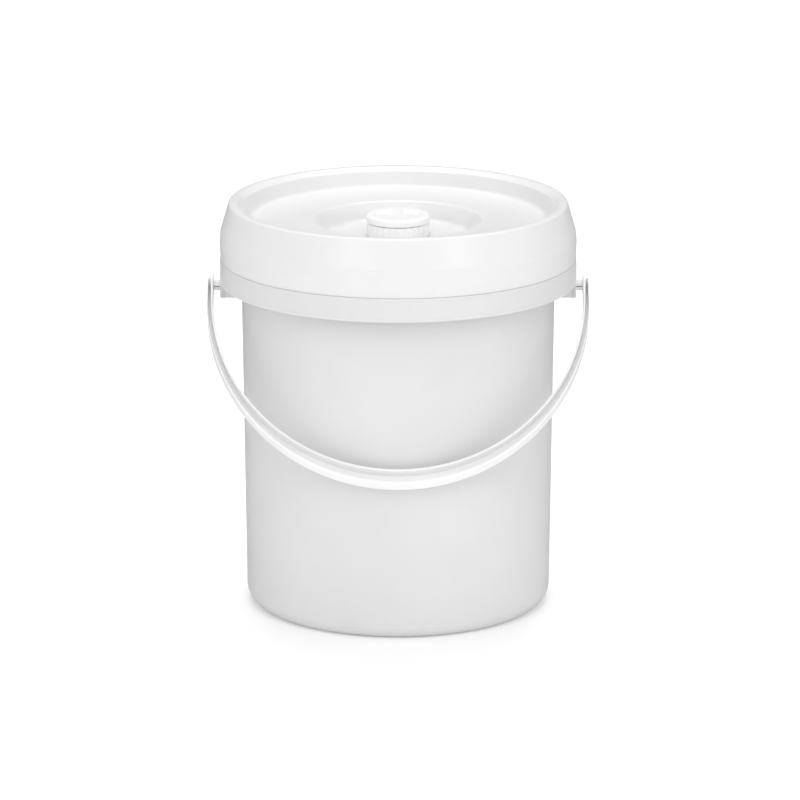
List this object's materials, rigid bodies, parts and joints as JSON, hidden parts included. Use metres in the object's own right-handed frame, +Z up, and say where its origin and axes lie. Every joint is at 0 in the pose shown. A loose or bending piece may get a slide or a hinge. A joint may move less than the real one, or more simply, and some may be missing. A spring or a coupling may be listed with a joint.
{
  "type": "fermenting bucket",
  "caption": "Round plastic fermenting bucket with a flared rim and collar, press-on lid, swinging bail handle and a vented centre cap.",
  "frame": {"origin": "centre of the base, on the surface the bucket stands on", "axes": "+Z up the bucket's axis; the handle's pivots lie along X and at rest it hangs forward, towards -Y"},
  "size_m": [0.2274, 0.2124, 0.245],
  "materials": {
    "bucket_white": "white polypropylene, satin, slightly translucent",
    "handle_white": "white polypropylene, smooth",
    "lid_white": "white polyethylene, soft gloss",
    "gasket_rubber": "soft pale silicone",
    "grommet_rubber": "soft grey rubber",
    "vent_white": "white polypropylene, gloss"
  },
  "bodies": {
    "bucket": {"bucket": "bucket_white"},
    "handle": {"carry_handle": "handle_white"},
    "lid": {"lid": "lid_white", "lid_gasket": "gasket_rubber", "airlock_grommet": "grommet_rubber", "vent_body": "vent_white"},
    "vent_cap": {"vent_cap": "vent_white"}
  },
  "joints": [
    {"name": "handle_swing", "type": "hinge", "parent": "bucket", "child": "handle", "pos_m": [0, 0, 0.1935], "axis": [-1, 0, 0], "range_deg": [0, 266]},
    {"name": "lid_lift", "type": "slide", "parent": "bucket", "child": "lid", "axis": [0, 0, 1], "range_m": [0, 0.1]},
    {"name": "cap_lift", "type": "slide", "parent": "lid", "child": "vent_cap", "axis": [0, 0, 1], "range_m": [0, 0.03]}
  ]
}
